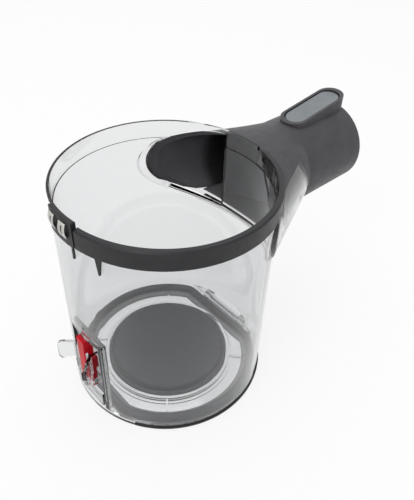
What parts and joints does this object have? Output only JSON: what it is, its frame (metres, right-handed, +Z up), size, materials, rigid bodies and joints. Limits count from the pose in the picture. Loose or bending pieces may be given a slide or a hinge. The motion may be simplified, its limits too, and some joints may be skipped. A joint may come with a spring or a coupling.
{
  "type": "cyclone dust bin",
  "caption": "Clear round dust bin of a stick vacuum cleaner with a flared wand inlet, a wand button, a red sliding catch and a hinged base with a seal.",
  "frame": {"origin": "centre of the round base, on its underside", "axes": "+X runs out along the wand socket, +Z is up towards the open rim, the red catch is at -X"},
  "size_m": [0.1978, 0.1138, 0.1365],
  "materials": {
    "clear": "clear polished plastic",
    "dark": "fine satin grain",
    "button": "satin",
    "red": "gloss",
    "seal": "matt rubber",
    "disc": "matt moulded",
    "contact": "plated",
    "wire": "sleeved lead",
    "steel": "bright"
  },
  "bodies": {
    "bin": {"bin_body": "clear", "inlet_duct": "dark", "cable_cover": "dark", "contact_block": "dark", "contact_clips": "contact", "upper_wire": "wire", "lower_wire": "wire", "button_pin": "steel", "button_spring": "steel", "terminal_block": "dark", "terminal_pins": "contact", "wand_seal": "seal", "hinge_pin": "steel", "catch_spring": "steel"},
    "lid": {"base_lid": "clear", "lid_seal": "seal", "cone_seal": "disc"},
    "button": {"release_button": "button"},
    "catch": {"release_catch": "red"}
  },
  "joints": [
    {"name": "lid_hinge", "type": "hinge", "parent": "bin", "child": "lid", "pos_m": [0.0506, 0, 0.0029], "axis": [0, -1, 0], "range_deg": [0, 105]},
    {"name": "button_rock", "type": "hinge", "parent": "bin", "child": "button", "pos_m": [0.104, 0, 0.1294], "axis": [0, 1, 0], "range_deg": [0, 4], "stiffness_Nm_per_rad": 0.5, "deforming": ["button_spring"]},
    {"name": "catch_slide", "type": "slide", "parent": "bin", "child": "catch", "axis": [0, 0, -1], "range_m": [0, 0.008], "stiffness_N_per_m": 300, "deforming": ["catch_spring"]}
  ]
}
